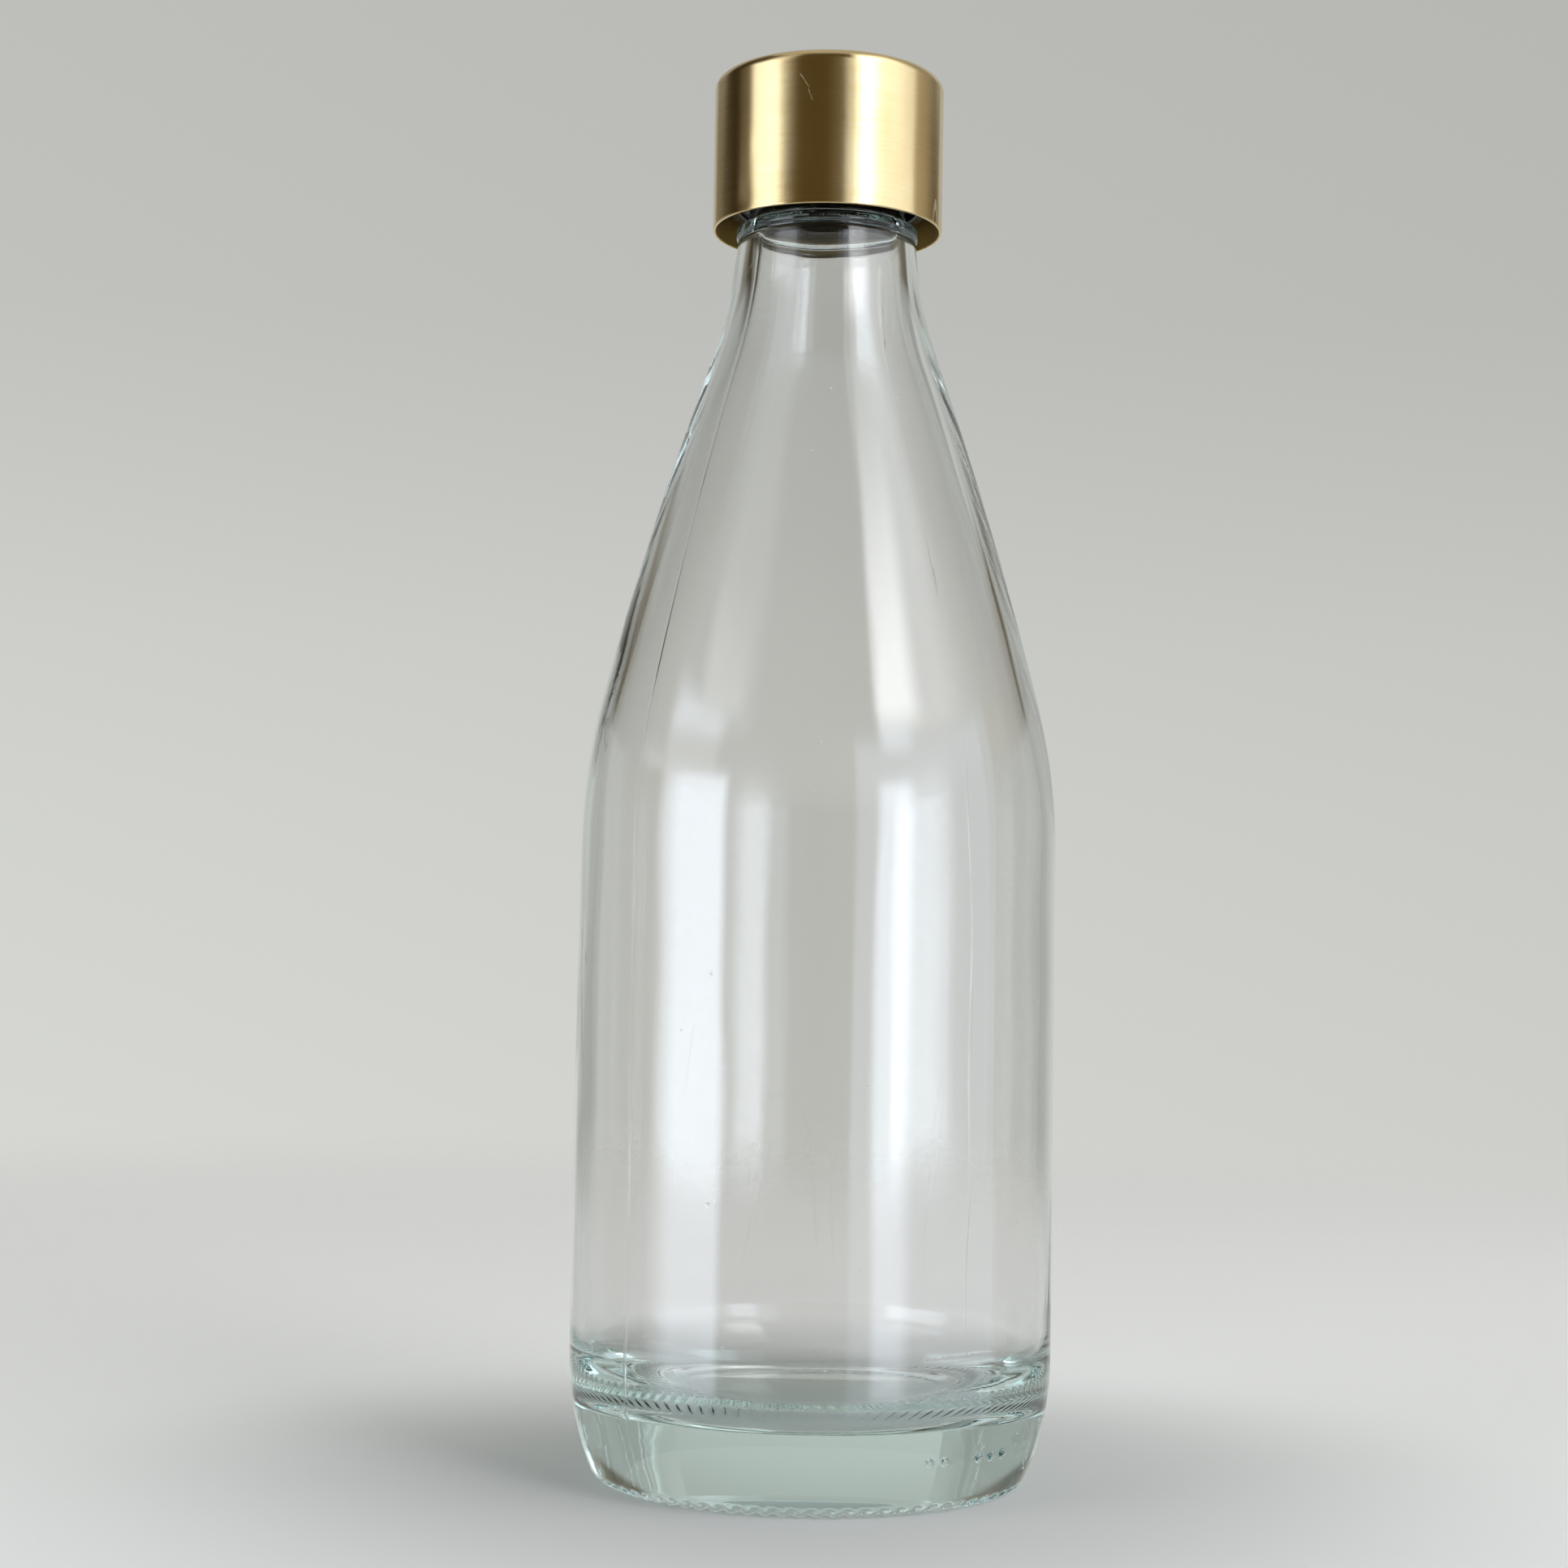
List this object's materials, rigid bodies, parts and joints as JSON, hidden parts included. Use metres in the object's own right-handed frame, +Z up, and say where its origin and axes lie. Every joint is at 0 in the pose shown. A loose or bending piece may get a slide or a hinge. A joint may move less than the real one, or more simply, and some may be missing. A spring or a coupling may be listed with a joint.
{
  "type": "cologne bottle",
  "caption": "Clear round glass splash bottle with a long tapered shoulder, a narrow threaded neck and a smooth gold metal screw cap.",
  "frame": {"origin": "centre of the ring that the bottle stands on", "axes": "+Z up along the bottle's axis; +X and +Y are free, as the form is turned about +Z"},
  "size_m": [0.0596, 0.0596, 0.176],
  "materials": {
    "clear_glass": "clear moulded container glass, faint green tint in the thick parts",
    "black_polyethylene": "moulded, soft sheen",
    "white_foam": "closed-cell foam with a smooth skin",
    "black_polypropylene": "moulded, glossy",
    "gold_anodised_aluminium": "satin gold, finely brushed"
  },
  "bodies": {
    "bottle": {"glass_bottle": "clear_glass", "orifice_reducer": "black_polyethylene"},
    "liner_carrier": {"sealing_liner": "white_foam"},
    "cap": {"inner_cap": "black_polypropylene", "outer_shell": "gold_anodised_aluminium"}
  },
  "joints": [
    {"name": "cap_climb", "type": "slide", "parent": "bottle", "child": "liner_carrier", "axis": [0, 0, 1], "range_m": [0, 0.01905]},
    {"name": "cap_turn", "type": "hinge", "parent": "liner_carrier", "child": "cap", "pos_m": [0, 0, 0.1565], "axis": [0, 0, 1], "range_deg": [0, 2160]}
  ],
  "couplings": [
    {"joint": "cap_climb", "follows": "cap_turn", "m_per_rad": 0.00050532}
  ]
}
